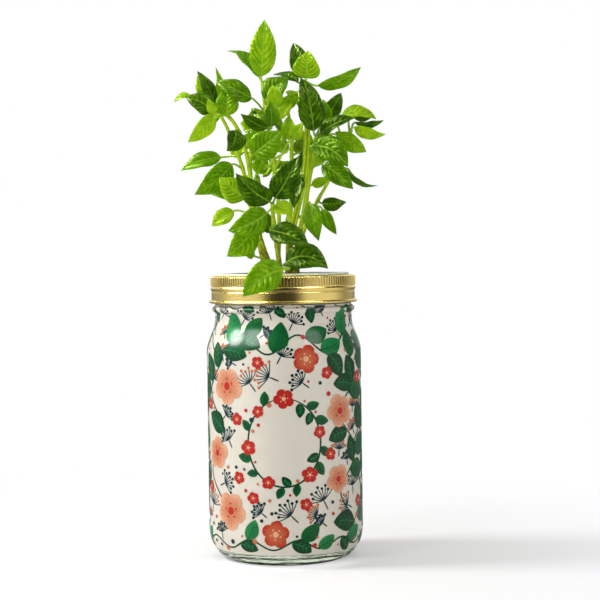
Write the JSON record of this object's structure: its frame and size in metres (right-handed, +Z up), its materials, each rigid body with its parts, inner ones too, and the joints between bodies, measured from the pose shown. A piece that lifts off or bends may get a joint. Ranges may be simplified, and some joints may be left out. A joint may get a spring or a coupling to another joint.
{
  "type": "herb garden jar",
  "caption": "Wide-mouth glass jar in a printed skin with a gold screw band, holding water and a lift-out slotted cup in which a leafy herb grows",
  "frame": {"origin": "centre of the jar's base, on the plane that it stands on", "axes": "+Z up along the jar's axis, -Y towards the viewer of the picture, +X to that viewer's right"},
  "size_m": [0.1344, 0.1148, 0.3407],
  "materials": {
    "glass": "clear pressed glass with a faint green cast",
    "print": "cream ground printed with loose sprigs and dots, satin gloss",
    "gold_band": "gold-lacquered rolled sheet, knurled grip, glossy",
    "seal": "soft matt silicone",
    "cup": "pale grey-green moulded plastic, satin",
    "medium": "damp crumbly coir and peat",
    "root": "pale, wet, hair-fine",
    "stem": "fleshy green, faintly ribbed, brown at the foot",
    "leaf": "waxy, puckered between light veins"
  },
  "bodies": {
    "jar": {"glass_jar": "glass", "printed_skin": "print"},
    "seal": {"seal_ring": "seal"},
    "band": {"screw_band": "gold_band"},
    "cup": {"net_cup": "cup", "growing_medium": "medium", "roots": "root", "stem_1": "stem", "stem_2": "stem", "stem_3": "stem", "stem_4": "stem", "stem_5": "stem", "stem_6": "stem", "stem_7": "stem", "stem_8": "stem", "stem_9": "stem", "leaves_1": "leaf", "leaves_2": "leaf", "leaves_3": "leaf", "leaves_4": "leaf", "leaves_5": "leaf", "leaves_6": "leaf", "leaves_7": "leaf", "leaves_8": "leaf", "leaves_9": "leaf"}
  },
  "joints": [
    {"name": "band_rise", "type": "slide", "parent": "jar", "child": "seal", "axis": [0, 0, 1], "range_m": [0, 0.00636]},
    {"name": "band_turn", "type": "hinge", "parent": "seal", "child": "band", "pos_m": [0, 0, 0.17], "axis": [0, 0, 1], "range_deg": [0, 450]},
    {"name": "cup_lift", "type": "slide", "parent": "seal", "child": "cup", "axis": [0, 0, 1], "range_m": [0, 0.125]}
  ],
  "couplings": [
    {"joint": "band_rise", "follows": "band_turn", "m_per_rad": 0.00080851}
  ]
}
